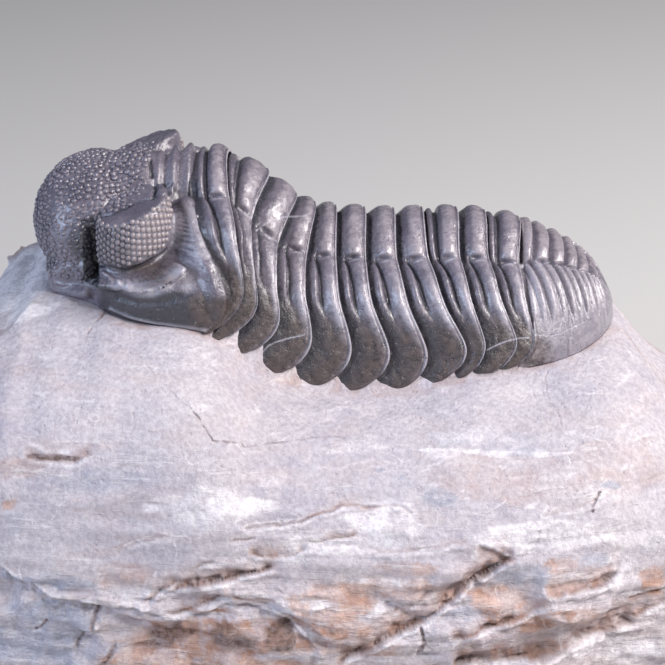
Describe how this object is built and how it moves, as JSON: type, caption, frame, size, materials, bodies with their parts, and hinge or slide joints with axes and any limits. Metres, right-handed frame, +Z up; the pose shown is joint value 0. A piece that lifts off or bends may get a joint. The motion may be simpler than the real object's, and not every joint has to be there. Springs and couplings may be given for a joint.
{
  "type": "trilobite fossil",
  "caption": "Trilobite fossil with warty head, compound eyes, ringed body and ribbed tail, standing in relief on a pale limestone block with a flat sawn base.",
  "frame": {"origin": "middle of the block's box, on its flat sawn base", "axes": "+Z up, +X from the animal's head towards its tail, -Y towards the animal's left side"},
  "size_m": [0.057, 0.0396, 0.032],
  "materials": {
    "limestone": "fine-grained, matt, broken and partly ground smooth",
    "fossil_shell": "dark calcite shell, waxy half gloss"
  },
  "bodies": {
    "root": {"matrix": "limestone", "cephalon": "fossil_shell", "thoracic_segment_01": "fossil_shell", "thoracic_segment_02": "fossil_shell", "thoracic_segment_03": "fossil_shell", "thoracic_segment_04": "fossil_shell", "thoracic_segment_05": "fossil_shell", "thoracic_segment_06": "fossil_shell", "thoracic_segment_07": "fossil_shell", "thoracic_segment_08": "fossil_shell", "thoracic_segment_09": "fossil_shell", "thoracic_segment_10": "fossil_shell", "thoracic_segment_11": "fossil_shell", "pygidium": "fossil_shell"}
  },
  "joints": []
}
